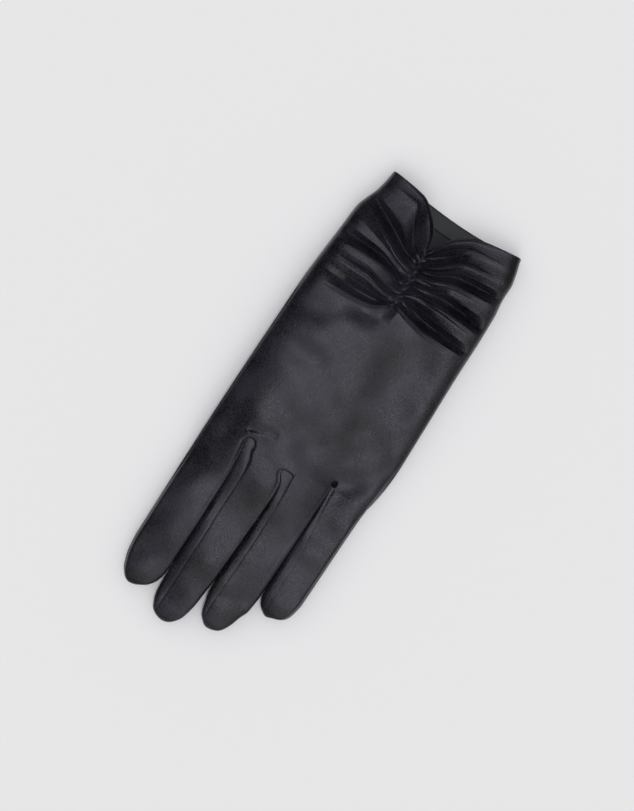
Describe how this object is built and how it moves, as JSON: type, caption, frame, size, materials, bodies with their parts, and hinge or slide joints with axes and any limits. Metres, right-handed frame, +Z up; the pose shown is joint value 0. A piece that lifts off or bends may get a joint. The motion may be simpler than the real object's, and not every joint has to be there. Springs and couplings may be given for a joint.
{
  "type": "wrist length dress glove",
  "caption": "Black satin dress glove for the left hand, wrist length, gathered on the back of the wrist, lying on its palm with the thumb tucked under.",
  "frame": {"origin": "middle of the footprint, on the surface that the palm lies on", "axes": "+Y from the hem to the fingertips, +X to the index finger side, +Z up from the palm to the back of the hand"},
  "size_m": [0.0854, 0.2282, 0.0164],
  "materials": {
    "satin": "black satin, soft sheen",
    "fourchette_satin": "black satin, soft sheen, cut lengthwise along the fingers"
  },
  "bodies": {
    "root": {"hand_piece": "satin", "thumb": "satin", "fourchette_index_middle": "fourchette_satin", "fourchette_middle_ring": "fourchette_satin", "fourchette_ring_little": "fourchette_satin"}
  },
  "joints": []
}
